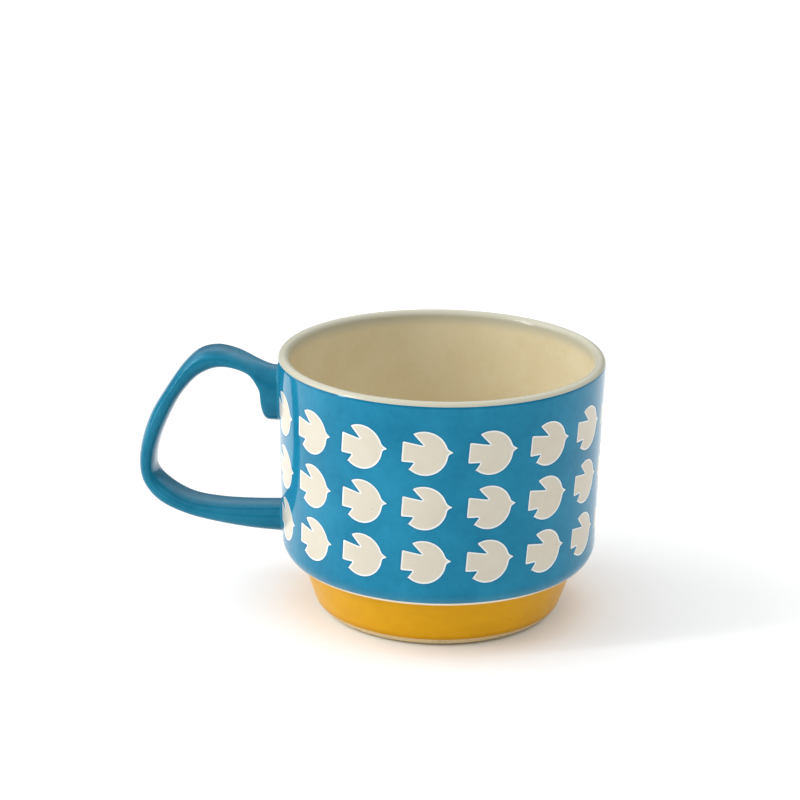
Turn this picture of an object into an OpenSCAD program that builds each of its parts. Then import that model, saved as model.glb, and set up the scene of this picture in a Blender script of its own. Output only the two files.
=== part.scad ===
// Stackable stoneware mug with a strap handle, a recessed foot and three rows of reserved birds.
// It stands on z = 0 with the cup's axis on Z, and the handle points to -X.

/* [Cup] */
// Outside diameter at the lip
rim_d = 90; // [84:1:96]
// Height of the lip above the table
height = 73; // [72:0.5:80]
// Thickness of the rounded lip
lip_t = 3.2; // [2.8:0.1:3.8]
// Outside diameter at the bottom of the wall, where the shoulder starts to turn in
wall_low_d = 87.5; // [86:0.5:90]
// Radius of the turned-in shoulder
shoulder_r = 6; // [5:0.5:6.5]
// Height at which the shoulder starts to turn in
shoulder_z = 20.4; // [20:0.1:21]
// Height of the inside floor
floor_z = 7.5; // [7:0.5:9]
// Radius of the bowl that joins the inside wall to the floor
bowl_r = 22; // [20:1:23]
// Inside diameter where that bowl meets the wall
bowl_d = 80.4; // [79:0.2:81]

/* [Foot] */
// Outside diameter of the foot just under the shoulder
foot_top_d = 77; // [76:0.5:78]
// Outside diameter of the face that the foot ring stands on
foot_low_d = 60.4; // [59.6:0.2:61.2]
// Width of the bare ring that touches the table
ring_w = 2.8; // [2.4:0.1:3.2]
// Depth of the recess inside the ring
recess_h = 2.6; // [2.2:0.1:3]

/* [Glaze] */
// Thickness of every glaze coat
glaze_t = 0.4; // [0.3:0.05:0.5]
// How far the cream of the lip comes down the outside
lip_drop = 1; // [0.8:0.1:1.4]
// Height of bare clay left between the foot glaze and the table
bare_h = 2.6; // [2:0.1:3]

/* [Birds] */
// Places round the cup at even spacing; the one under the handle stays empty
bird_places = 16; // [14:1:16]
// Height of the lowest row of birds
bird_low_z = 28.6; // [27:0.1:30]
// Height from one row to the next
bird_step = 15.25; // [14:0.05:15.5]
// Radius of the round body and wings
bird_r = 6.1; // [5:0.1:6.2]

/* [Handle] */
// Width of the strap, measured round the cup
strap_w = 11.2; // [10:0.2:14]
// How square the strap's section is: 2 is an ellipse
strap_square = 2.5; // [2:0.1:4]
// Thickness of the slip between the handle and the cup
slip_t = 1; // [0.8:0.1:1.2]
// How far the slip was squeezed out round the handle's ends
slip_out = 1.2; // [0.6:0.1:1.4]

/* [Hidden] */
$fn = 180;

cream = [0.90, 0.87, 0.76];
blue = [0.16, 0.50, 0.65];
mustard = [0.86, 0.62, 0.14];
stoneware = [0.85, 0.80, 0.69];

rim_r = rim_d / 2;
lip_r = lip_t / 2;
lip_c = [rim_r - lip_r, height - lip_r];
lip_line = asin(1 - lip_drop / lip_r);      // angle on the lip where the blue begins
shoulder_c = [wall_low_d / 2 - shoulder_r, shoulder_z];
divider_from = 43;                          // angle under the shoulder where the blue ends
shoulder_end = 60;                          // angle where the shoulder meets the ledge
foot_r = 4.6;                               // rounding at the bottom of the foot
foot_c = [foot_low_d / 2, foot_r];
foot_slope = 18;                            // lean of the foot's side from upright
foot_stop = asin(1 - bare_h / foot_r);      // angle where the foot glaze ends
bowl_c = [bowl_d / 2 - bowl_r, floor_z + bowl_r];
recess_r = foot_low_d / 2 - ring_w - 1.4;
ring_bevel = [0.8, 0.5];

function arc(c, r, from, to, n) =
    [for (i = [0 : n]) let(a = from + (to - from) * i / n) c + r * [cos(a), sin(a)]];
function reverse(list) = [for (i = [len(list) - 1 : -1 : 0]) list[i]];

// Each line below runs along the finished surface, or g under it.
function wall_line(g) = concat(
    arc(lip_c, lip_r - g, lip_line, 0, 4),
    arc(shoulder_c, shoulder_r - g, 0, -divider_from, 8));
function divider_line(g) = arc(shoulder_c, shoulder_r - g, -divider_from, -shoulder_end, 4);
function foot_line(g) = concat(
    [shoulder_c + (shoulder_r - g) * [cos(shoulder_end), -sin(shoulder_end)],
     [foot_top_d / 2 - g, shoulder_z - (shoulder_r - g) * sin(shoulder_end)]],
    arc(foot_c, foot_r - g, -foot_slope, -foot_stop, 4));
function liner_line(g) = concat(
    arc(lip_c, lip_r - g, lip_line, 180, 12),
    arc(bowl_c, bowl_r + g, 0, -90, 16),
    [[0, floor_z - g]]);
ring_line = concat(
    arc(foot_c - [0, glaze_t], foot_r - glaze_t, -foot_stop, -90, 5),
    [[foot_low_d / 2 - ring_w, 0],
     [foot_low_d / 2 - ring_w - ring_bevel[0], ring_bevel[1]],
     [recess_r, recess_h]]);

// A coat lies between a line on the surface and the same line at the clay.
module coat(surface, clay) rotate_extrude() polygon(concat(surface, reverse(clay)));

// Everything inside the outer wall, grown or shrunk by -g
module inside_wall(g) {
    line = wall_line(g);
    rotate_extrude()
        polygon(concat([[0, line[0][1]]], line, [[0, line[len(line) - 1][1]]]));
}

// One bird, 13.7 mm long, flying to +X: a disc with two wedges cut behind the wings,
// a square-ended tail and a small beak.
module bird() {
    s = bird_r / 6.1;
    wing_from = 120;
    wing_to = -132;
    beak_at = 5;
    beak_half = 11;
    body = [-0.6, 0] * s;
    polygon(concat(
        arc(body, bird_r, wing_from, beak_at + beak_half, 14),
        [s * [5.7, 1.15], s * [6.95, 0.45], s * [5.75, -0.1]],
        arc(body, bird_r, beak_at - beak_half, wing_to, 16),
        s * [[-5.0, -4.95], [-3.3, -2.6], [-6.7, -2.6], [-6.3, 3.1], [-0.8, 2.2]]));
}

// The birds of one row as prisms that pass through the wall
module bird_row(z)
    for (place = [1 : bird_places - 1])
        rotate(180 + place * 360 / bird_places)
            translate([rim_r - 6, 0, z])
                rotate([90, 0, 90])
                    linear_extrude(8) bird();

module reserved(row) intersection() {
    coat(wall_line(0), wall_line(glaze_t));
    bird_row(bird_low_z + row * bird_step);
}

// Stations along the strap, upper root first: outer face out and up, inner face out and up.
// The inner face runs down the wall as a spur before it meets it.
stations = [
    [41.0, 66.4, 41.0, 52.5],
    [44.5, 67.0, 45.5, 52.5],
    [46.8, 67.1, 48.3, 52.9],
    [49.0, 67.7, 49.5, 55.6],
    [51.5, 68.7, 49.4, 59.6],
    [54.4, 69.9, 52.1, 64.8],
    [57.9, 71.2, 56.5, 67.0],
    [62.4, 72.0, 61.3, 67.4],
    [67.3, 70.8, 65.5, 65.9],
    [71.6, 66.9, 69.1, 63.1],
    [76.3, 60.0, 72.9, 58.2],
    [80.3, 53.1, 76.2, 51.9],
    [82.9, 45.6, 78.8, 45.4],
    [83.8, 38.5, 80.1, 39.6],
    [82.6, 32.7, 79.7, 35.3],
    [78.4, 27.6, 75.6, 31.3],
    [71.1, 24.2, 69.6, 28.2],
    [62.4, 22.1, 61.6, 27.1],
    [52.0, 20.6, 52.0, 27.1],
    [41.0, 20.0, 41.0, 27.6]];
ring_sides = 24;
ring_steps = 3;                             // rings from one station to the next
upper_root = stations[1];                   // the strap's section where it meets the wall
lower_root = stations[len(stations) - 1];

function spline(a, b, c, d, t) =
    (2 * b + (c - a) * t + (2 * a - 5 * b + 4 * c - d) * t * t
     + (3 * b - a - 3 * c + d) * t * t * t) / 2;
function station_at(i, t) = spline(
    stations[max(i - 1, 0)], stations[i], stations[i + 1],
    stations[min(i + 2, len(stations) - 1)], t);
function power(x) = sign(x) * pow(abs(x), 2 / strap_square);
// One ring of the strap round the two faces of a station, grown by g
function ring(s, g) =
    let(outer = [-s[0], s[1]], inner = [-s[2], s[3]],
        mid = (outer + inner) / 2, half = norm(outer - inner) / 2,
        up = (outer - inner) / (2 * half))
    [for (k = [0 : ring_sides - 1]) let(
        a = 360 * k / ring_sides,
        p = mid + up * (half + g) * power(sin(a)))
        [p[0], (strap_w / 2 + g) * power(cos(a)), p[1]]];
function rings(g) = [
    for (i = [0 : len(stations) - 2], step = [0 : ring_steps - 1])
        ring(station_at(i, step / ring_steps), g),
    ring(stations[len(stations) - 1], g)];
// Quads between rings, turned inside out for the inner skin of a tube
function skin(count, start, inward) = [
    for (j = [0 : count - 2], k = [0 : ring_sides - 1]) let(
        a = start + j * ring_sides + k,
        b = start + j * ring_sides + (k + 1) % ring_sides)
        inward ? [a, a + ring_sides, b + ring_sides, b] : [a, b, b + ring_sides, a + ring_sides]];

module strap(g) {
    all_rings = rings(g);
    count = len(all_rings);
    end = (count - 1) * ring_sides;
    polyhedron(
        [for (r = all_rings) each r],
        concat(skin(count, 0, false),
               [[for (k = [ring_sides - 1 : -1 : 0]) k]],
               [[for (k = [0 : ring_sides - 1]) end + k]]));
}

module strap_coat() {
    outer_rings = rings(glaze_t);
    inner_rings = rings(0);
    count = len(outer_rings);
    inner_start = count * ring_sides;
    end = (count - 1) * ring_sides;
    polyhedron(
        [for (r = concat(outer_rings, inner_rings)) each r],
        concat(skin(count, 0, false), skin(count, inner_start, true),
               [for (k = [0 : ring_sides - 1]) let(n = (k + 1) % ring_sides)
                   [n, k, inner_start + k, inner_start + n]],
               [for (k = [0 : ring_sides - 1]) let(n = (k + 1) % ring_sides)
                   [end + k, end + n, inner_start + end + n, inner_start + end + k]]));
}

// The outline of the slip under one end of the handle, as a prism through the wall
module slip_outline(root)
    translate([-rim_r - 3, 0, 0])
        rotate([90, 0, 90])
            linear_extrude(8) polygon([for (p = ring(root, slip_out)) [p[1], p[2]]]);

module slip(root) intersection() {
    slip_outline(root);
    coat(wall_line(glaze_t - slip_t), wall_line(glaze_t));
}

module cup_clay() color(stoneware)
    rotate_extrude() polygon(concat(
        wall_line(glaze_t), divider_line(glaze_t), foot_line(glaze_t),
        ring_line, [[0, recess_h]], reverse(liner_line(glaze_t))));

module handle_clay() color(stoneware) difference() {
    strap(0);
    inside_wall(glaze_t - slip_t);
}

module upper_slip() color(blue) slip(upper_root);
module lower_slip() color(blue) slip(lower_root);

module liner_glaze() color(cream) coat(liner_line(0), liner_line(glaze_t));

module wall_glaze() color(blue) difference() {
    coat(wall_line(0), wall_line(glaze_t));
    for (row = [0 : 2]) bird_row(bird_low_z + row * bird_step);
    slip_outline(upper_root);
    slip_outline(lower_root);
}

module top_birds() color(cream) reserved(2);
module middle_birds() color(cream) reserved(1);
module lower_birds() color(cream) reserved(0);

module divider_glaze() color(cream) coat(divider_line(0), divider_line(glaze_t));
module foot_glaze() color(mustard) coat(foot_line(0), foot_line(glaze_t));

module recess_glaze() color(cream)
    translate([0, 0, recess_h - glaze_t])
        cylinder(h = glaze_t, r = recess_r);

module handle_glaze() color(blue) difference() {
    strap_coat();
    inside_wall(glaze_t - slip_t);
}

cup_clay();
handle_clay();
upper_slip();
lower_slip();
liner_glaze();
wall_glaze();
top_birds();
middle_birds();
lower_birds();
divider_glaze();
foot_glaze();
recess_glaze();
handle_glaze();
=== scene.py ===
# %% [markdown]
# # A stoneware mug in glaze
#
# The design of this mug is already packed: its sizes, its pieces and the way they meet. This lesson
# puts the looks on that frame. Each cell makes one piece or one finish, and says what it is on a real
# mug, how else it could be made, and why it is made this way here.

# %% Load the frame
import math

import bpy
import numpy as np
from mathutils import Matrix, Vector
from mathutils.geometry import delaunay_2d_cdt


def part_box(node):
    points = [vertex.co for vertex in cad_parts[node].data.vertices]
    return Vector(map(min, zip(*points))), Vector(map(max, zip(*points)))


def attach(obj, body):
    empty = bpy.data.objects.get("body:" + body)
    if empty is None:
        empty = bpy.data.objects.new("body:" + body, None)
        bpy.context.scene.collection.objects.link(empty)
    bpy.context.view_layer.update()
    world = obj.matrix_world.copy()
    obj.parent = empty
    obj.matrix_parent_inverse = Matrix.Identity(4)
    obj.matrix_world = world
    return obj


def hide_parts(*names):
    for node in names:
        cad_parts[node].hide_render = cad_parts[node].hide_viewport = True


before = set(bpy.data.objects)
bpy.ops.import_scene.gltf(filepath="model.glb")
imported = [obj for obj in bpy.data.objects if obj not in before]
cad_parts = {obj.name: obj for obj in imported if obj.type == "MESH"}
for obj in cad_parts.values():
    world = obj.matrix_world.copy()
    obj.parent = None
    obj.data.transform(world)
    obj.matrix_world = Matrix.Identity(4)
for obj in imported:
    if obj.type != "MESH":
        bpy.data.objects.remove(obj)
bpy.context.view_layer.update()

print("CAD nodes:", ", ".join(sorted(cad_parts)))

# %% [markdown]
# ## Sizes
#
# A potter talks in millimetres and Blender in metres, so lengths are written in millimetres here and
# turned over in one place, when a mesh is made. What the frame can say is read from it: how wide and how
# high the lip is, the inside floor and the rows of birds. The rest are the design's own driving sizes.

# %% Sizes in millimetres
MM = 0.001


def box_mm(node):
    """Lowest and highest corner of a CAD node, in millimetres."""
    low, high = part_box(node)
    return Vector(low) / MM, Vector(high) / MM


GLAZE = 0.4
RIM_R = round(box_mm("wall_glaze")[1].x * 2) / 2
HEIGHT = round(box_mm("liner_glaze")[1].z * 2) / 2
LIP_R = 1.6
LIP_DROP = 1.0
WALL_LOW_R = 43.75
SHOULDER_R = 6.0
SHOULDER_Z = 20.4
FLOOR_Z = round(box_mm("liner_glaze")[0].z + GLAZE, 1)
BOWL_R = 22.0
BOWL_WALL_R = 40.2
FOOT_TOP_R = 38.5
RING_R = 30.2
RING_W = 2.8
RING_ROUND = 0.8
RECESS_H = 2.6
RECESS_R = RING_R - RING_W - 1.4
ROWS = {name: (box_mm(name)[0].z + box_mm(name)[1].z) / 2
        for name in ("lower_birds", "middle_birds", "top_birds")}
PLACES = 16
print(f"lip {2 * RIM_R:.1f} across at {HEIGHT:.1f} high, floor at {FLOOR_Z:.1f}")
print("bird rows at", {name: round(z, 2) for name, z in ROWS.items()})

# %% [markdown]
# ## The camera
#
# A mug is looked at from a little above, so that the lip shows as an ellipse and the inside can be
# seen. The camera stands a long arm's reach away with a long lens, which keeps the wall's sides almost
# straight. It is set by where it stands, the point it looks at and a slight roll, the way a person
# would set it on a tripod.

# %% Set up the camera
EYE_REACH = 650
EYE_HEIGHT = 270.3
EYE_TURN = math.radians(4.3)
LOOK_AT = Vector((-11.25, -0.85, 59.2))
ROLL = math.radians(0.77)
LENS = 111.5

eye = Vector((EYE_REACH * math.sin(EYE_TURN), -EYE_REACH * math.cos(EYE_TURN), EYE_HEIGHT))
camera_data = bpy.data.cameras.new("camera")
camera_data.lens = LENS
camera_data.sensor_width = 36
camera_data.clip_end = 20
camera = bpy.data.objects.new("camera", camera_data)
camera.location = eye * MM
look = (LOOK_AT - eye).to_track_quat("-Z", "Y")
camera.rotation_mode = "QUATERNION"
camera.rotation_quaternion = look @ Matrix.Rotation(ROLL, 3, "Z").to_quaternion()
bpy.context.collection.objects.link(camera)
bpy.context.scene.camera = camera
print(f"camera {(LOOK_AT - eye).length:.0f} mm from the mug")

# %% [markdown]
# ## The profile
#
# A round pot is one line turned about an axis, and a potter checks that line with a template. The line
# could be drawn as a curve object with handles. Arcs and straight stretches are used here, because then
# the same line can be drawn again a glaze's thickness further in, and the coats and the clay meet.

# %% Draw the profile
def arc(centre, radius, start, end, steps):
    """Points on an arc, with angles in degrees."""
    angles = [math.radians(start + (end - start) * i / steps) for i in range(steps + 1)]
    return [(centre[0] + radius * math.cos(a), centre[1] + radius * math.sin(a)) for a in angles]


LIP = (RIM_R - LIP_R, HEIGHT - LIP_R)
LIP_LINE = math.degrees(math.asin(1 - LIP_DROP / LIP_R))
SHOULDER = (WALL_LOW_R - SHOULDER_R, SHOULDER_Z)
DIVIDER_FROM, DIVIDER_TO = -43, -60
COVE_R = 0.7
FOOT_R = 4.6
FOOT = (RING_R, FOOT_R)
FOOT_LEAN = -18
BARE_H = 2.6
FOOT_STOP = -math.degrees(math.asin(1 - BARE_H / FOOT_R))
BOWL = (BOWL_WALL_R - BOWL_R, FLOOR_Z + BOWL_R)
TAPER = (RIM_R - WALL_LOW_R) / (LIP[1] - SHOULDER_Z)


def wall_radius(z):
    """Radius of the outside at height z: a slightly tapering wall, and the round shoulder below it."""
    if z >= SHOULDER_Z:
        return WALL_LOW_R + TAPER * (z - SHOULDER_Z)
    return SHOULDER[0] + math.sqrt(SHOULDER_R ** 2 - (SHOULDER_Z - z) ** 2)


def wall_way(z):
    """The way straight out of the wall at height z, as (out, up)."""
    if z >= SHOULDER_Z:
        return Vector((1, -TAPER)).normalized()
    return Vector((wall_radius(z) - SHOULDER[0], z - SHOULDER_Z)).normalized()


def straight(start, end):
    """Four points between two others."""
    return [(start[0] + (end[0] - start[0]) * t, start[1] + (end[1] - start[1]) * t)
            for t in (0.2, 0.4, 0.6, 0.8)]


def liner_line(g):
    """From the colour line over the lip, down the inside and to the middle of the floor."""
    wall = straight((RIM_R - 2 * LIP_R + g, LIP[1]), (BOWL_WALL_R + g, BOWL[1]))
    bowl = arc(BOWL, BOWL_R + g, 0, -90, 40)
    floor = [(BOWL[0] * t, FLOOR_Z - g) for t in (0.75, 0.5, 0.25, 0)]
    return arc(LIP, LIP_R - g, LIP_LINE, 180, 28) + wall + bowl + floor


def shoulder_line(g, start, end, steps):
    return arc(SHOULDER, SHOULDER_R - g, start, end, steps)


def foot_line(g):
    """From the end of the shoulder in along the ledge, then down the foot's side to the bare ring."""
    ledge_z = SHOULDER_Z - (SHOULDER_R - g) * math.sin(math.radians(-DIVIDER_TO))
    start = SHOULDER[0] + (SHOULDER_R - g) * math.cos(math.radians(DIVIDER_TO))
    cove = arc((FOOT_TOP_R - g + COVE_R, ledge_z - COVE_R), COVE_R, 90, 163, 6)
    side = arc(FOOT, FOOT_R - g, FOOT_LEAN, FOOT_STOP, 8)
    return [(start, ledge_z)] + cove + straight(cove[-1], side[0]) + side


print(f"the wall leans in {RIM_R - WALL_LOW_R:.2f} mm over {LIP[1] - SHOULDER_Z:.1f} mm of height")

# %% [markdown]
# ## Turning a profile
#
# Turning is the lathe's job: each point of the profile becomes a ring of vertices, and a point on the
# axis becomes one vertex. Blender's Screw modifier can do it too. A short loop is used so that every
# coat comes out as a closed skin, with a front, a back and an edge, like the thin layer that it is.

# %% A lathe for closed profiles
TURNS = 256
CREASE = math.radians(40)


def new_piece(name, vertices, faces):
    """A smooth-shaded mesh object from points in millimetres, with creases only at real corners."""
    mesh = bpy.data.meshes.new(name)
    mesh.from_pydata([Vector(v) * MM for v in vertices], [], faces)
    mesh.validate()
    mesh.shade_smooth()
    mesh.set_sharp_from_angle(angle=CREASE)
    piece = bpy.data.objects.new(name, mesh)
    bpy.context.collection.objects.link(piece)
    return piece


def turn(name, profile):
    """Turns a closed profile of (radius, height) points about Z."""
    area = sum(a[0] * b[1] - b[0] * a[1] for a, b in zip(profile, profile[1:] + profile[:1]))
    if area > 0:
        profile = profile[::-1]
    vertices, rings = [], []
    for r, z in profile:
        if r < 1e-6:
            rings.append([len(vertices)] * TURNS)
            vertices.append((0, 0, z))
            continue
        rings.append(list(range(len(vertices), len(vertices) + TURNS)))
        for i in range(TURNS):
            a = 2 * math.pi * i / TURNS
            vertices.append((r * math.cos(a), r * math.sin(a), z))
    faces = []
    for one, two in zip(rings, rings[1:] + rings[:1]):
        if one[0] == one[1] and two[0] == two[1]:
            continue
        for i in range(TURNS):
            j = (i + 1) % TURNS
            corners = [one[j], one[i], two[i], two[j]]
            faces.append([c for k, c in enumerate(corners) if c not in corners[:k]])
    piece = new_piece(name, vertices, faces)
    print(f"{name}: {len(vertices)} vertices, {len(faces)} faces")
    return piece


def coat(name, line, bead=False):
    """Turns a coat of glaze, out along the surface and back along the clay. A bead rounds its last edge."""
    front, back = line(0), line(GLAZE)
    if bead:
        last, under = Vector(front[-1]), Vector(back[-1])
        middle, half = (last + under) / 2, (last - under).length / 2
        start = math.degrees(math.atan2(*(last - middle).yx))
        front = front + arc(middle, half, start, start - 180, 6)[1:-1]
    return turn(name, front + back[::-1])


# %% [markdown]
# ## The clay
#
# The cup itself is buff stoneware, and only the ring that the mug stands on is left bare. A potter wipes
# the glaze off there so that the pot doesn't stick to the kiln shelf, and a pale band shows under the
# foot's colour. The whole body is turned even so, because the coats need something to sit on.

# %% Turn the clay body
def wall_line(g):
    """From the colour line on the lip, down the wall and round the shoulder to the cream line."""
    lip = arc(LIP, LIP_R - g, LIP_LINE, 0, 6)
    return lip + shoulder_line(g, 0, DIVIDER_FROM, 16)


ring = arc((RING_R, FOOT_R - GLAZE), FOOT_R - GLAZE, FOOT_STOP, -90, 16)
ring += [(RING_R - RING_W, 0)]
ring += arc((RING_R - RING_W, RING_ROUND), RING_ROUND, -90, -150, 5)[1:]
ring += [(RECESS_R, RECESS_H), (0, RECESS_H)]
clay_body = turn(
    "clay_body",
    wall_line(GLAZE) + shoulder_line(GLAZE, DIVIDER_FROM, DIVIDER_TO, 4)[1:]
    + foot_line(GLAZE)[1:] + ring + liner_line(GLAZE)[::-1][:-1],
)

# %% [markdown]
# ## The plain coats
#
# Four coats have no pattern: the cream inside and over the lip, the cream line between the colours, the
# mustard of the foot, and the cream in the recess underneath. Painting one mesh in bands would look the
# same from far off. Real coats are better separate, since each stops in its own edge: the foot's ends in
# a small rolled bead above the bare ring, where the wiped glaze drew back.

# %% Turn the plain coats
liner = coat("liner_and_lip", liner_line)
divider = coat("divider_line", lambda g: shoulder_line(g, DIVIDER_FROM, DIVIDER_TO, 8))
foot = coat("foot_coat", foot_line, bead=True)
recess = turn("recess_coat", [
    (0, RECESS_H - GLAZE), (RECESS_R - 0.3, RECESS_H - GLAZE),
    (RECESS_R - 0.08, RECESS_H - GLAZE * 0.7), (RECESS_R, RECESS_H), (0, RECESS_H)])

# %% [markdown]
# ## The bird
#
# Each bird is a place that the blue glaze was kept off, so the pale glaze under it shows. Its outline is
# a disc for the body and wings, with two wedges cut behind the wings, a square tail and a small beak.
# It could be a painted mask. A real outline in the mesh stays sharp however close the camera comes.

# %% Draw one bird
BIRD_R = 6.1
BODY = (-0.6, 0)
BEAK_AT, BEAK_HALF = 5, 11


def bird_corners():
    """The bird flying to +X, counter-clockwise from behind its upper wing."""
    back = [(-0.8, 2.2), (-6.3, 3.1), (-6.7, -2.6), (-3.3, -2.6), (-5.0, -4.95)]
    belly = arc(BODY, BIRD_R, -132, BEAK_AT - BEAK_HALF, 40)
    beak = [(5.75, -0.1), (6.95, 0.45), (5.7, 1.15)]
    wing = arc(BODY, BIRD_R, BEAK_AT + BEAK_HALF, 120, 34)
    return [Vector(p) for p in back + belly + beak + wing]


def even(points, step):
    """The same closed line with points at about even spacing, every corner kept."""
    out = []
    for a, b in zip(points, points[1:] + points[:1]):
        count = max(1, round((b - a).length / step))
        out += [a.lerp(b, i / count) for i in range(count)]
    return out


def softened(points, passes):
    """Corners worn round, as glaze never holds a sharp one."""
    for _ in range(passes):
        before, after = points[-1:] + points, points[1:] + points[:1]
        points = [(a + 2 * b + c) / 4 for a, b, c in zip(before, points, after)]
    return points


SPACING = 0.36
outline = softened(even(bird_corners(), SPACING), 1)
outline_np = np.array([tuple(p) for p in outline])
way_round = sum((b - a).length for a, b in zip(outline, outline[1:]))
print(f"bird outline: {len(outline)} points, {way_round:.1f} mm round")

# %% [markdown]
# ## One tile of the wall
#
# The birds stand at even places round the wall and at even heights, so the wall is one tile repeated.
# The tile is triangulated flat, with the bird's outline as an edge that no triangle may cross, and rows
# of points beside it to carry the small step down from the blue to the bird. A Boolean would cut the
# same windows, but it leaves long thin triangles that spoil the shine of a glossy wall.

# %% Triangulate the tile
MEAN_R = (RIM_R + WALL_LOW_R) / 2
TILE_W = 2 * math.pi * MEAN_R / PLACES
TILE_H = (ROWS["top_birds"] - ROWS["lower_birds"]) / 2
ACROSS, UP = 16, 14
BESIDE = (-0.55, -0.28, -0.12, 0.12, 0.28, 0.55)
CLEAR = 0.85


def to_outline(points):
    """Signed distance of each point from the outline, negative inside, and the way out from it."""
    a, b = outline_np, np.roll(outline_np, -1, axis=0)
    along = b - a
    t = ((points[:, None] - a) * along).sum(2) / (along ** 2).sum(1)
    gap = points[:, None] - (a + np.clip(t, 0, 1)[..., None] * along)
    dist = np.linalg.norm(gap, axis=2)
    near = dist.argmin(1)
    pick = np.arange(len(points))
    (px, py), (ax, ay), (bx, by) = points.T, a.T, b.T
    crosses = (ay > py[:, None]) != (by > py[:, None])
    with np.errstate(divide="ignore", invalid="ignore"):
        at = (bx - ax) * (py[:, None] - ay) / (by - ay) + ax
    inside = (crosses & (px[:, None] < at)).sum(1) % 2 == 1
    sign = np.where(inside, -1, 1)
    dist = dist[pick, near]
    way = gap[pick, near] / np.maximum(dist, 1e-9)[:, None] * sign[:, None]
    return dist * sign, way


normals = [(c - a).normalized() for a, c in zip(outline[-1:] + outline, outline[1:] + outline[:1])]
beside = np.array([tuple(p + Vector((n.y, -n.x)) * d) for d in BESIDE for p, n in zip(outline, normals)])
kept = np.abs(to_outline(beside)[0]) > 0.93 * np.repeat(np.abs(BESIDE), len(outline))
grid = np.array([(TILE_W * (i / ACROSS - 0.5), TILE_H * (j / UP - 0.5))
                 for i in range(ACROSS + 1) for j in range(UP + 1)])
from_edges = np.abs(np.abs(grid) - (TILE_W / 2, TILE_H / 2))
on_edge = (from_edges < 1e-6).any(1)
grid = grid[on_edge | (np.abs(to_outline(grid)[0]) > CLEAR)]
points = np.concatenate([outline_np, beside[kept], grid])
round_edges = [(i, (i + 1) % len(outline)) for i in range(len(outline))]
flat, _, triangles, _, _, _ = delaunay_2d_cdt([Vector(p) for p in points], round_edges, [], 0, 1e-5)
tile = np.array([tuple(p) for p in flat])
tile_dist, tile_way = to_outline(tile)
tile_dist[np.abs(tile_dist) < 1e-4] = 0
middles = np.array([tile[list(t)].mean(0) for t in triangles])
in_bird = to_outline(middles)[0] < 0
print(f"tile: {len(tile)} points, {len(triangles)} triangles, {in_bird.sum()} of them in the bird")

# %% [markdown]
# ## The blue wall and the birds
#
# The tile is wrapped round the cup and stacked, and the triangles are dealt out: those outside the
# outlines belong to the blue coat, the rest to a row of birds. The place under the handle has no bird.
# Plain bands above and below carry the blue up onto the lip and down round the shoulder. The blue stands
# a tenth of a millimetre proud of the birds and rolls down to them, and each point also keeps how near
# it is to an outline, for the glazes to use later.

# %% Wrap the tile into coats
STEP_DOWN = 0.1
ROLL_W = 0.28
EDGE_W = 0.6
FAR_OFF = 9
LEAN = wall_way(HEIGHT)


class Coat:
    """Collects spots on the wall and triangles between them, then makes a closed coat of them."""

    def __init__(self):
        self.index, self.spots, self.faces = {}, [], []

    def spot(self, angle, r, z, normal, drop=0, tilt=(0, 0), edge=0):
        key = (round(angle % 360, 3) % 360, round(z, 3))
        if key not in self.index:
            self.index[key] = len(self.spots)
            self.spots.append((math.radians(angle), r, z, normal, drop, tilt, edge))
        return self.index[key]

    def band(self, line):
        """Quads round the cup between the points of a line of (radius, height, normal)."""
        count = PLACES * ACROSS
        for (r0, z0, n0), (r1, z1, n1) in zip(line, line[1:]):
            for i in range(count):
                a, b = 360 * i / count, 360 * (i + 1) / count
                a, b = a + 180 - 180 / PLACES, b + 180 - 180 / PLACES
                self.faces.append([self.spot(a, r1, z1, n1), self.spot(b, r1, z1, n1),
                                   self.spot(b, r0, z0, n0), self.spot(a, r0, z0, n0)])

    def piece(self, name):
        front, back, shine = [], [], []
        for a, r, z, n, drop, tilt, _ in self.spots:
            out = Vector((math.cos(a) * n[0], math.sin(a) * n[0], n[1]))
            round_way = Vector((-math.sin(a), math.cos(a), 0))
            up_way = Vector((-math.cos(a) * n[1], -math.sin(a) * n[1], n[0]))
            at = Vector((r * math.cos(a), r * math.sin(a), z))
            front.append(at - out * drop)
            back.append(at - out * GLAZE)
            shine.append((out - round_way * tilt[0] - up_way * tilt[1]).normalized())
        count = len(front)
        sides = {}
        for f in self.faces:
            for p, q in zip(f, f[1:] + f[:1]):
                sides[(p, q)] = True
        rim = [(p, q) for p, q in sides if (q, p) not in sides]
        faces = list(self.faces)
        faces += [[v + count for v in reversed(f)] for f in self.faces]
        faces += [[q, p, p + count, q + count] for p, q in rim]
        made = new_piece(name, front + back, faces)
        mesh = made.data
        edge = mesh.attributes.new("edge", "FLOAT", "POINT")
        edge.data.foreach_set("value", [s[6] for s in self.spots] * 2)
        loops = []
        for polygon in mesh.polygons:
            in_front = polygon.index < len(self.faces)
            for v in polygon.vertices:
                loops.append(shine[v] if in_front else polygon.normal.copy())
        mesh.normals_split_custom_set(loops)
        print(f"{name}: {len(mesh.vertices)} vertices, {len(mesh.polygons)} faces")
        return made


def rolled(dist):
    """How far the surface has dropped at this distance from the outline, and how steeply."""
    t = min(max((ROLL_W - dist) / (2 * ROLL_W), 0), 1)
    return STEP_DOWN * t * t * (3 - 2 * t), -STEP_DOWN * 6 * t * (1 - t) / (2 * ROLL_W)


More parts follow.
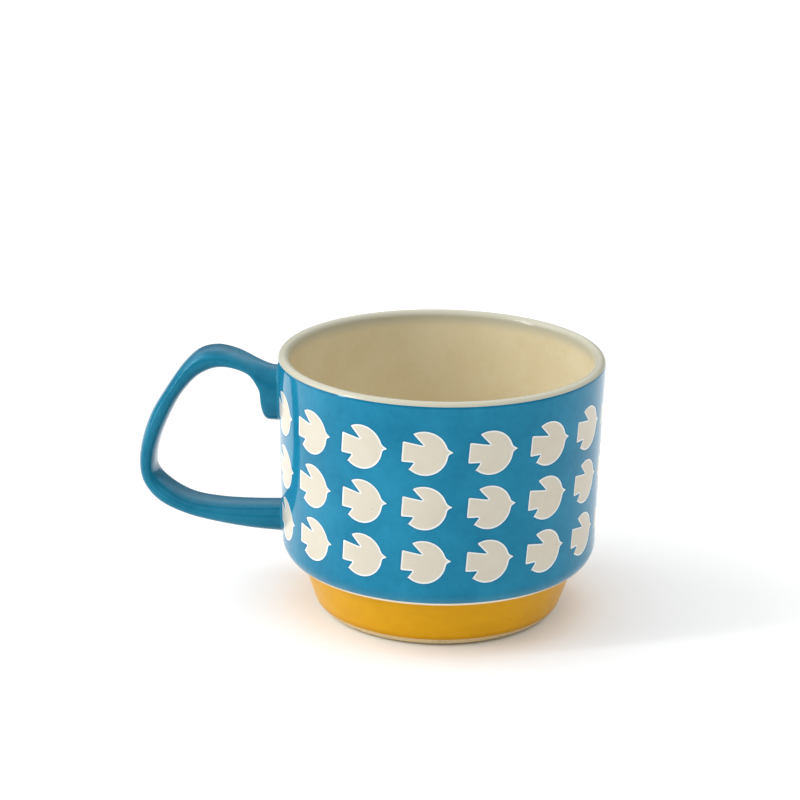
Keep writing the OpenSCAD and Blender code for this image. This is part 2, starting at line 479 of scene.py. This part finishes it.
blue, rows = Coat(), {name: Coat() for name in ROWS}
for name, row_z in ROWS.items():
    for place in range(PLACES):
        turn_to = 180 + 360 * place / PLACES

        def spot_of(which, i):
            x, y = tile[i]
            z = row_z + y
            dist = tile_dist[i] if place else FAR_OFF
            drop, slope = rolled(dist)
            near = max(0, 1 - abs(dist) / EDGE_W)
            angle = turn_to + math.degrees(x / MEAN_R)
            return which.spot(angle, wall_radius(z), z, LEAN, drop, tile_way[i] * -slope, near)

        for triangle, bird in zip(triangles, in_bird):
            which = rows[name] if bird and place else blue
            which.faces.append([spot_of(which, i) for i in triangle])


def facing_out(line, centre):
    """The points of an arc, each with the way out from the arc's centre."""
    return [(r, z, Vector((r - centre[0], z - centre[1])).normalized()) for r, z in line]


half_tile = TILE_H / 2
top_z, low_z = ROWS["top_birds"] + half_tile, ROWS["lower_birds"] - half_tile
upper = [(wall_radius(z), z, LEAN) for z in np.linspace(top_z, LIP[1] - 0.3, 6)]
upper += facing_out(arc(LIP, LIP_R, 0, LIP_LINE, 8), LIP)
blue.band(upper[::-1])
lower = [(wall_radius(low_z), low_z, LEAN)]
lower += facing_out(shoulder_line(0, 0, DIVIDER_FROM, 18), SHOULDER)
blue.band(lower)

wall = blue.piece("wall_coat")
bird_rows = {name: rows[name].piece("birds_" + name.split("_")[0]) for name in ROWS}

# %% [markdown]
# ## The handle
#
# The handle is a strap: full on its two faces with well rounded edges, deep where it springs from the
# wall, thinnest down its outer side, and with a spur that runs down the wall inside. A curve with a bevel
# would keep one thickness all the way. Instead two rails are drawn, one for the outer face and one for
# the inner, and a rounded section is carried along between them.

# %% Draw the handle's rails
STRAP_W = 11.2
SQUARE = 2.5
SIDES = 72
STATIONS = [
    # outer face: out, up; inner face: out, up
    (41.0, 66.4, 41.0, 52.5),
    (44.5, 67.0, 45.5, 52.5),
    (46.8, 67.1, 48.3, 52.9),
    (49.0, 67.7, 49.5, 55.6),
    (51.5, 68.7, 49.4, 59.6),
    (54.4, 69.9, 52.1, 64.8),
    (57.9, 71.2, 56.5, 67.0),
    (62.4, 72.0, 61.3, 67.4),
    (67.3, 70.8, 65.5, 65.9),
    (71.6, 66.9, 69.1, 63.1),
    (76.3, 60.0, 72.9, 58.2),
    (80.3, 53.1, 76.2, 51.9),
    (82.9, 45.6, 78.8, 45.4),
    (83.8, 38.5, 80.1, 39.6),
    (82.6, 32.7, 79.7, 35.3),
    (78.4, 27.6, 75.6, 31.3),
    (71.1, 24.2, 69.6, 28.2),
    (62.4, 22.1, 61.6, 27.1),
    (52.0, 20.6, 52.0, 27.1),
    (41.0, 20.0, 41.0, 27.6),
]
STRAP_END = len(STATIONS) - 1


def rails(u):
    """Outer and inner face of the strap, u stations along it, on a smooth curve through the stations."""
    i = min(int(u), STRAP_END - 1)
    t = u - i
    a, b, c, d = (np.array(STATIONS[min(max(i + n, 0), STRAP_END)]) for n in (-1, 0, 1, 2))
    row = 0.5 * (2 * b + (c - a) * t + (2 * a - 5 * b + 4 * c - d) * t ** 2
                 + (3 * b - a - 3 * c + d) * t ** 3)
    return Vector((-row[0], 0, row[1])), Vector((-row[2], 0, row[3]))


def raised(x, power):
    """A power that keeps the sign."""
    return math.copysign(abs(x) ** power, x)


def strap_point(u, k):
    """Point k round the strap's section, u stations along, and the way out from it."""
    outer, inner = rails(u)
    up = (outer - inner).normalized()
    half = (outer - inner).length / 2 + GLAZE
    width = STRAP_W / 2 + GLAZE
    turned = 2 * math.pi * k / SIDES
    across, high = raised(math.cos(turned), 2 / SQUARE), raised(math.sin(turned), 2 / SQUARE)
    side = Vector((0, 1, 0))
    at = (outer + inner) / 2 + side * width * across + up * half * high
    way = side * raised(across, SQUARE - 1) / width + up * raised(high, SQUARE - 1) / half
    return at, way.normalized()


reach_out = max(-strap_point(u / 4, SIDES // 4)[0].x for u in range(4 * STRAP_END))
print(f"the strap reaches {reach_out:.1f} mm from the mug's axis")

# %% [markdown]
# ## Joining the handle to the wall
#
# A potter scores both parts, wets them with slip and smooths a little fillet round the joint, and the
# glaze then fills it further. Two meshes that only cross would show a hard line there. Each long line of
# the strap is followed to the wall, and from a fillet's height above it the line is led out in a quarter
# round that ends flat on the wall.

# %% Lead the strap onto the wall
FILLET = 0.7
FILLET_STEPS = 8
BURY = 0.15
STRAP_RINGS = 220


def above_wall(p):
    """Height of a point above the wall's surface."""
    return (Vector((p.x, p.y)).length - wall_radius(p.z)) * wall_way(p.z)[0]


def wall_normal(p):
    out, up = wall_way(p.z)
    flat_way = Vector((p.x, p.y)).normalized()
    return Vector((flat_way.x * out, flat_way.y * out, up))


def leaves_wall(k, height, start, step):
    """Where along the strap its line k, coming out of the wall, is this high above it."""
    low = start
    while above_wall(strap_point(low + step, k)[0]) < height:
        low += step
    high = low + step
    for _ in range(30):
        half_way = (low + high) / 2
        if above_wall(strap_point(half_way, k)[0]) < height:
            low = half_way
        else:
            high = half_way
    return high


def joint_rings(start, step):
    """Rings of one joint from the buried one to the fillet's top, and where each line leaves it."""
    rings = [[] for _ in range(FILLET_STEPS + 2)]
    left_at = []
    for k in range(SIDES):
        u = leaves_wall(k, FILLET, start, step)
        left_at.append(u)
        top, way = strap_point(u, k)
        at_wall = strap_point(leaves_wall(k, 0, start, step), k)[0]
        normal = wall_normal(at_wall)
        way = (way - normal * way.dot(normal)).normalized()
        for j in range(FILLET_STEPS + 1):
            a = math.pi / 2 * j / FILLET_STEPS
            p = at_wall.lerp(top, 1 - math.cos(a)) + way * FILLET * (1 - math.sin(a))
            p += wall_normal(p) * (FILLET * (1 - math.cos(a)) - above_wall(p))
            rings[j + 1].append(p)
        edge = rings[1][-1] + way * 3 * BURY
        rings[0].append(edge - wall_normal(edge) * (above_wall(edge) + BURY))
    return rings, left_at


upper_rings, upper_left = joint_rings(0.0, 0.05)
lower_rings, lower_left = joint_rings(float(STRAP_END), -0.05)
strap_rings = []
for n in range(STRAP_RINGS + 1):
    t = n / STRAP_RINGS
    strap_rings.append([strap_point(a + (b - a) * t, k)[0]
                        for k, (a, b) in enumerate(zip(upper_left, lower_left))])
for place, left in (("upper", upper_left), ("lower", lower_left)):
    print(f"the {place} joint ends at stations {min(left):.2f} to {max(left):.2f}")

# %% [markdown]
# ## The three pieces of the handle
#
# The strap and its two joints are made apart, as they are on the potter's bench. They share their last
# rings, so the glaze runs over them without a seam. Shading usually comes from the faces alone. Here each
# point is told its own way out, taken from the shape that it belongs to, and at the foot of a fillet that
# way is the wall's, so a highlight crosses from the wall to the handle without a kink.

# %% Make the strap and its joints
def ring_ways(rings):
    """The way out at every point of a run of rings, from its neighbours along and round."""
    grid = np.array([[tuple(p) for p in ring_points] for ring_points in rings])
    along = np.gradient(grid, axis=0)
    round_way = np.roll(grid, -1, axis=1) - np.roll(grid, 1, axis=1)
    ways = np.cross(along, round_way)
    return ways / np.linalg.norm(ways, axis=2, keepdims=True)


def tube(name, rings, ways):
    """A closed tube through the rings, shaded by the given ways out."""
    vertices = [p for ring_points in rings for p in ring_points]
    count = len(rings)
    faces = []
    for j in range(count - 1):
        for k in range(SIDES):
            n = (k + 1) % SIDES
            faces.append([j * SIDES + n, j * SIDES + k, (j + 1) * SIDES + k, (j + 1) * SIDES + n])
    faces.append(list(range(SIDES)))
    faces.append([(count - 1) * SIDES + k for k in reversed(range(SIDES))])
    made = new_piece(name, vertices, faces)
    made.data.normals_split_custom_set_from_vertices(ways.reshape(-1, 3))
    print(f"{name}: {count} rings, {len(vertices)} vertices")
    return made


whole = upper_rings + strap_rings[1:-1] + lower_rings[::-1]
whole_ways = ring_ways(whole)
for row in (0, 1, -1, -2):
    whole_ways[row] = [tuple(wall_normal(p)) for p in whole[row]]
joint = len(upper_rings)
upper_joint = tube("upper_joint", whole[:joint], whole_ways[:joint])
handle = tube("handle_strap", whole[joint - 1:1 - joint], whole_ways[joint - 1:1 - joint])
lower_joint = tube("lower_joint", whole[-joint:], whole_ways[-joint:])

# %% [markdown]
# ## Writing a finish as a sum
#
# A finish is a small recipe of shader nodes. Wired by hand, a sum such as 1 - mask is three nodes and
# hard to read later. One small class wraps a node's output, so that sums are written as sums and each one
# adds its Math node. Everything else, a noise or a mix of two colours, is asked for by its node's type.

# %% A wire that can be added and multiplied
class Wire:
    """The output of a shader node, with which sums are written."""

    def __init__(self, socket):
        self.socket = socket

    def node(self, kind, settings, inputs, out=0):
        """Adds a node of this kind beside this one: settings first, then the values or wires it takes."""
        tree = self.socket.id_data
        made = tree.nodes.new(kind)
        for key, value in settings.items():
            setattr(made, key, value)
        for key, value in inputs.items():
            if isinstance(value, Wire):
                tree.links.new(value.socket, made.inputs[key])
            else:
                made.inputs[key].default_value = value
        return Wire(made.outputs[out])

    def math(self, operation, *inputs):
        return self.node("ShaderNodeMath", {"operation": operation}, dict(enumerate(inputs)))

    def __add__(self, other):
        return self.math("ADD", self, other)

    def __sub__(self, other):
        return self.math("SUBTRACT", self, other)

    def __rsub__(self, other):
        return self.math("SUBTRACT", other, self)

    def __mul__(self, other):
        return self.math("MULTIPLY", self, other)

    def __truediv__(self, other):
        return self.math("DIVIDE", self, other)

    def __pow__(self, other):
        return self.math("POWER", self, other)

    __radd__, __rmul__ = __add__, __mul__

    def between(self, low, high):
        """0 below low, 1 above high, and a smooth climb between."""
        return self.node("ShaderNodeMapRange", {"interpolation_type": "SMOOTHSTEP"},
                         {"Value": self, "From Min": low, "From Max": high})

    def mix(self, colour, other):
        """From one colour to the other as this goes from 0 to 1."""
        return self.node("ShaderNodeMix", {"data_type": "RGBA"}, {0: self, 6: colour, 7: other}, 2)


def srgb(red, green, blue_part):
    """A colour that is read off a glaze tile in steps of 255, as the linear values that light adds in."""
    parts = [c / 255 for c in (red, green, blue_part)]
    return tuple(c / 12.92 if c <= 0.04045 else ((c + 0.055) / 1.055) ** 2.4 for c in parts) + (1,)


class Finish:
    """A material in the making: where on the pot we are, its noises, and the surface at the end."""

    def __init__(self, name):
        self.material = bpy.data.materials.new(name)
        self.material.use_nodes = True
        nodes = self.material.node_tree.nodes
        nodes.clear()
        self.output = nodes.new("ShaderNodeOutputMaterial")
        self.place = Wire(nodes.new("ShaderNodeTexCoord").outputs["Object"])
        self.height = self.place.node("ShaderNodeSeparateXYZ", {}, {0: self.place}, 2) / MM

    def noise(self, size_mm, detail=2, stretch=None):
        """Cloudy values round 0.5, with clouds of about this size."""
        place = self.place
        if stretch:
            place = place.node("ShaderNodeVectorMath", {"operation": "MULTIPLY"}, {0: place, 1: stretch})
        inputs = {"Vector": place, "Scale": 1 / (size_mm * MM), "Detail": detail, "Roughness": 0.55}
        return place.node("ShaderNodeTexNoise", {"noise_dimensions": "3D"}, inputs)

    def specks(self, apart_mm, share, size):
        """1 in small round specks, at this share of places about this far apart."""
        cells = {"Vector": self.place, "Scale": 1 / (apart_mm * MM), "Randomness": 1.0}
        near = self.place.node("ShaderNodeTexVoronoi", {"feature": "F1"}, cells, "Distance")
        pick = self.place.node("ShaderNodeTexVoronoi", {"feature": "F1"}, cells, "Color")
        chance = pick.node("ShaderNodeSeparateColor", {}, {0: pick})
        return (1 - near.between(size * 0.6, size)) * chance.math("LESS_THAN", chance, share)

    def edge(self):
        """How near an outline is, from the piece's own points: 1 on it and 0 well away."""
        return self.place.node("ShaderNodeAttribute", {"attribute_name": "edge"}, {}, "Fac")

    def surface(self, colour, roughness, height=None, lift_mm=0.05, **constants):
        """Closes the recipe with one glossy or dull skin, and a bump where a height is given."""
        inputs = {"Base Color": colour, "Roughness": roughness}
        if height:
            bump = {"Height": height, "Strength": 1.0, "Distance": lift_mm * MM}
            inputs["Normal"] = height.node("ShaderNodeBump", {}, bump)
        inputs.update({key.replace("_", " "): value for key, value in constants.items()})
        skin = self.place.node("ShaderNodeBsdfPrincipled", {}, inputs)
        self.material.node_tree.links.new(skin.socket, self.output.inputs["Surface"])
        print(f"{self.material.name}: {len(self.material.node_tree.nodes)} nodes")
        return self.material


# %% [markdown]
# ## The blue glaze
#
# The blue is a glossy, nearly opaque coat over the buff clay. Where it gathers, as round each bird and in
# the last millimetre under the cream lip, it goes deeper. One flat colour would look like plastic. The
# clouds are faint, because a dipped industrial glaze is even, and the skin has the slight waviness of all
# glaze, which breaks up a highlight. What it mirrors is tinted blue as well, except at a glancing angle.
# Real glaze mirrors white. The tint stands in for how strong this blue stays in every light. The strap's
# blue is set a little deeper than the wall's, as painted shade for the duller light that falls on the strap
# and the darker room that it mirrors, and its skin a little softer.

# %% Mix the blue glaze
PIT_BLUE = srgb(10, 78, 108)


def blue_finish(name, thin, deep, dull):
    f = Finish(name)
    depth = 0.5 + (f.noise(16) - 0.5) * 0.8 + (f.noise(2.2) - 0.5) * 0.35
    depth = depth + (f.edge() ** 2) * 0.55
    depth = depth + f.height.between(HEIGHT - 1.9, HEIGHT - 1.2) * 0.3
    body = depth.between(0, 1).mix(thin, deep)
    pits = f.specks(2.6, 0.02, 0.1)
    colour = pits.mix(body, PIT_BLUE)
    waves = f.noise(7, 1) * 0.7 + f.noise(1.3, 1) * 0.3 - pits * 0.3
    return f.surface(colour, dull + f.noise(5) * 0.06, waves, 0.015, Specular_IOR_Level=0.42,
                     Specular_Tint=(0.25, 0.6, 0.75, 1))


blue_glaze = blue_finish("blue_glaze", srgb(35, 133, 166), srgb(7, 100, 134), 0.05)
# The strap's blue is the wall's glaze with painted shade: its thin and deep colours are both set darker.
shaded_strap_glaze = blue_finish("strap_blue_shaded", srgb(34, 123, 151), srgb(7, 89, 117), 0.1)

# %% [markdown]
# ## The cream glazes
#
# The inside carries a warm cream, which is set darker and greyer over the lip and the top few millimetres
# inside. The birds are a cooler cream. Each is warmer in its middle and paler along its edge, in a thin
# line beside the blue: that pale line is a painted highlight, the glint of the small step down from the
# blue. The line above the foot is the palest of the three. Fine specks of iron from the clay are rare. The
# three share one recipe. One colour for all of them would be simpler, but then the birds and the line
# would look as warm as the inside.

# %% Mix the creams
LIP_CREAM = srgb(180, 178, 160)
# The colour of the painted highlight along the birds' outlines.
BIRD_EDGE_GLINT = srgb(224, 228, 227)
IRON = srgb(176, 150, 110)


def cream_finish(name, middle_colour, warm_colour, speck_share):
    f = Finish(name)
    warm = 0.5 + (f.noise(14) - 0.5) * 1.0 + (f.noise(1.8) - 0.5) * 0.5
    body = warm.between(0, 1).mix(middle_colour, warm_colour)
    # The cream is set darker and greyer over the top few millimetres and the lip.
    body = f.height.between(HEIGHT - 5, HEIGHT - 1).mix(body, LIP_CREAM)
    # The pale line along each bird's outline is a painted highlight, the glint on the step down from the
    # blue.
    pale = f.edge().between(0.1, 0.6).mix(body, BIRD_EDGE_GLINT)
    specked = f.specks(2.4, speck_share, 0.12).mix(pale, IRON)
    waves = f.noise(6, 1) * 0.7 + f.noise(1.2, 1) * 0.3
    return f.surface(specked, 0.12 + f.noise(5) * 0.1, waves, 0.03, Specular_IOR_Level=0.35)


cream_glaze = cream_finish("cream_glaze", srgb(216, 206, 176), srgb(207, 193, 156), 0.02)
line_glaze = cream_finish("line_glaze", srgb(238, 236, 226), srgb(228, 224, 208), 0.0)
bird_glaze = cream_finish("bird_glaze", srgb(206, 200, 184), srgb(199, 190, 172), 0.01)

# %% [markdown]
# ## The mustard glaze
#
# The foot's mustard is a satin glaze, banded on while the pot turned, so it has the faintest of level
# streaks. It is thickest, and brownest, in the corner under the shoulder and in the bead where it stops.
# What it mirrors is tinted yellow, for the same reason as with the blue.

# %% Mix the mustard
THIN_MUSTARD = srgb(224, 168, 22)
DEEP_MUSTARD = srgb(189, 133, 8)
PIT_BROWN = srgb(150, 98, 20)


def mustard_finish():
    f = Finish("mustard_glaze")
    streaks = f.noise(9, 3, (1, 1, 7))
    depth = 0.45 + (streaks - 0.5) * 0.08 + (f.noise(5) - 0.5) * 0.35
    depth = depth + (1 - f.height.between(BARE_H, BARE_H + 1.6)) * 0.35
    depth = depth + f.height.between(14.2, 15.2) * 0.35
    body = depth.between(0, 1).mix(THIN_MUSTARD, DEEP_MUSTARD)
    pits = f.specks(2.0, 0.02, 0.12)
    colour = pits.mix(body, PIT_BROWN)
    waves = streaks * 0.1 + f.noise(4, 1) * 0.9
    return f.surface(colour, 0.24 + f.noise(4) * 0.14, waves, 0.03, Specular_IOR_Level=0.2,
                     Specular_Tint=(1, 0.8, 0.4, 1))


mustard_glaze = mustard_finish()

# %% [markdown]
# ## The bare stoneware
#
# Fired stoneware without glaze is dry and sandy, with grains of grog that stand out where the foot was
# wiped. It shows only on the ring that the mug stands on, so the recipe is short: a fine grain for the
# colour and the same grain as height.

# %% Mix the bare clay
PALE_CLAY = srgb(224, 204, 158)
DARK_CLAY = srgb(204, 180, 132)
GROG = srgb(150, 122, 88)


def clay_finish():
    f = Finish("bare_stoneware")
    grain = f.noise(0.7, 3)
    shade = 0.5 + (grain - 0.5) * 1.4 + (f.noise(9) - 0.5) * 0.6
    colour = shade.between(0, 1).mix(PALE_CLAY, DARK_CLAY)
    grog = f.specks(1.6, 0.3, 0.22)
    return f.surface(grog.mix(colour, GROG), 0.8 + grain * 0.15, grain + grog * 0.5, 0.06)


bare_stoneware = clay_finish()

# %% [markdown]
# ## Which piece takes which finish
#
# Every coat stands for its own node of the imported part, rides with the mug and takes its finish. The
# table also names the record's slot for each finish.

# %% Dress the pieces
DRESS = [
    (clay_body, ["cup_clay"], bare_stoneware, "bare_stoneware"),
    (liner, ["liner_glaze"], cream_glaze, "cream_glaze"),
    (wall, ["wall_glaze"], blue_glaze, "blue_glaze"),
    (divider, ["divider_glaze"], line_glaze, "cream_glaze"),
    (foot, ["foot_glaze"], mustard_glaze, "mustard_glaze"),
    (recess, ["recess_glaze"], cream_glaze, "cream_glaze"),
    # The handle's pieces take the strap's blue, which carries painted shade in its colour.
    (handle, ["handle_glaze", "handle_clay"], shaded_strap_glaze, "blue_glaze"),
    (upper_joint, ["upper_slip"], shaded_strap_glaze, "blue_glaze"),
    (lower_joint, ["lower_slip"], shaded_strap_glaze, "blue_glaze"),
]
DRESS += [(piece, [name], bird_glaze, "bird_glaze") for name, piece in bird_rows.items()]
for piece, nodes, finish_used, slot in DRESS:
    piece.data.materials.append(finish_used)
    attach(piece, "root")
    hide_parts(*nodes)
print(f"{len(DRESS)} pieces dressed")

# %% [markdown]
# ## Floor and light
#
# A glossy pot is lit by what it mirrors. Here that is a wide pale floor, a white ceiling over walls that
# are darker near the floor's level, and two lights to the left. One is a tall narrow window, a little in
# front, which puts the thin bright line on the strap. The other is a broad curtain, further round and
# higher, which leaves the right side in soft shade. An even white room would be simpler, but the strap's
# faces would then have no dark parts to mirror. The colours are shown as they are, without a film curve.

# %% Set the floor and the light
FLOOR_HALF = 5000
FLOOR_WHITE = (0.9, 0.9, 0.9, 1)
WALL_GREY = (0.24, 0.24, 0.24, 1)
CEILING_WHITE = (1.28, 1.28, 1.28, 1)

floor_mesh = bpy.data.meshes.new("floor")
floor_mesh.from_pydata([(x * FLOOR_HALF * MM, y * FLOOR_HALF * MM, 0) for x, y in
                        ((-1, -1), (1, -1), (1, 1), (-1, 1))], [], [[0, 1, 2, 3]])
floor = bpy.data.objects.new("floor", floor_mesh)
bpy.context.collection.objects.link(floor)
floor_paint = bpy.data.materials.new("pale_floor")
floor_paint.use_nodes = True
floor_skin = floor_paint.node_tree.nodes["Principled BSDF"]
floor_skin.inputs["Base Color"].default_value = FLOOR_WHITE
floor_skin.inputs["Roughness"].default_value = 0.9
floor_mesh.materials.append(floor_paint)


def window(name, azimuth, elevation, distance, wide, tall, power):
    """An oblong soft light that faces the mug from this side."""
    light = bpy.data.lights.new(name, "AREA")
    light.shape = "RECTANGLE"
    light.size, light.size_y = wide * MM, tall * MM
    light.energy = power
    lamp = bpy.data.objects.new(name, light)
    a, e = math.radians(azimuth), math.radians(elevation)
    away = Vector((math.sin(a) * math.cos(e), -math.cos(a) * math.cos(e), math.sin(e)))
    lamp.location = (Vector((0, 0, HEIGHT / 2)) + away * distance) * MM
    lamp.rotation_mode = "QUATERNION"
    lamp.rotation_quaternion = (-away).to_track_quat("-Z", "Y")
    bpy.context.collection.objects.link(lamp)
    print(f"{name}: {wide} by {tall} mm, {power} W")


window("window", -66, 20, 1600, 150, 1300, 11)
window("curtain", -86, 40, 1500, 1100, 1000, 7.4)
room = bpy.data.worlds.new("room")
room.use_nodes = True
sky = Wire(room.node_tree.nodes.new("ShaderNodeTexCoord").outputs["Generated"])
height_in_room = sky.node("ShaderNodeSeparateXYZ", {}, {0: sky}, 2)
shade = height_in_room.between(0.2, 0.6).mix(WALL_GREY, CEILING_WHITE)
backdrop = room.node_tree.nodes["Background"]
room.node_tree.links.new(shade.socket, backdrop.inputs["Color"])
bpy.context.scene.world = room
bpy.context.scene.view_settings.view_transform = "Standard"
